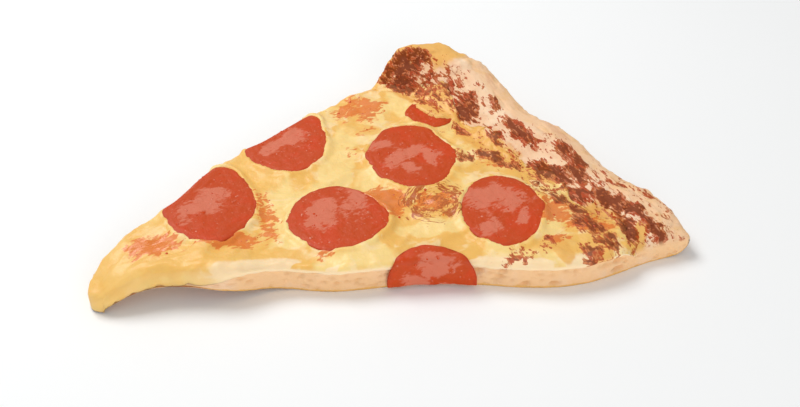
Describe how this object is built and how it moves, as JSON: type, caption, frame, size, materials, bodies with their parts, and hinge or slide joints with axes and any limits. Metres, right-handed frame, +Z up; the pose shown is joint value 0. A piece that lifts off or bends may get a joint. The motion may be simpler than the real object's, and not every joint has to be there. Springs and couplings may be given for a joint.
{
  "type": "pepperoni pizza slice",
  "caption": "Pizza slice with a raised browned crust, melted cheese, round pepperoni slices and a drooping tip, lying flat on its base.",
  "frame": {"origin": "on the flat underside of the dough, below the slice's long axis and near the middle of its length", "axes": "+X from the tip to the crust, +Y from the front cut side to the back one, +Z up from the surface the slice lies on"},
  "size_m": [0.2172, 0.1605, 0.0333],
  "materials": {
    "dough": "matt baked dough, peach with golden and dark brown baked patches",
    "cheese": "melted cheese, soft gloss with a film of orange fat",
    "pepperoni": "baked sausage slice, red-orange with paler fat, oily gloss"
  },
  "bodies": {
    "root": {"dough": "dough", "cheese": "cheese", "pepperoni_1": "pepperoni", "pepperoni_2": "pepperoni", "pepperoni_3": "pepperoni", "pepperoni_4": "pepperoni", "pepperoni_5": "pepperoni", "pepperoni_6": "pepperoni", "pepperoni_7": "pepperoni"}
  },
  "joints": []
}
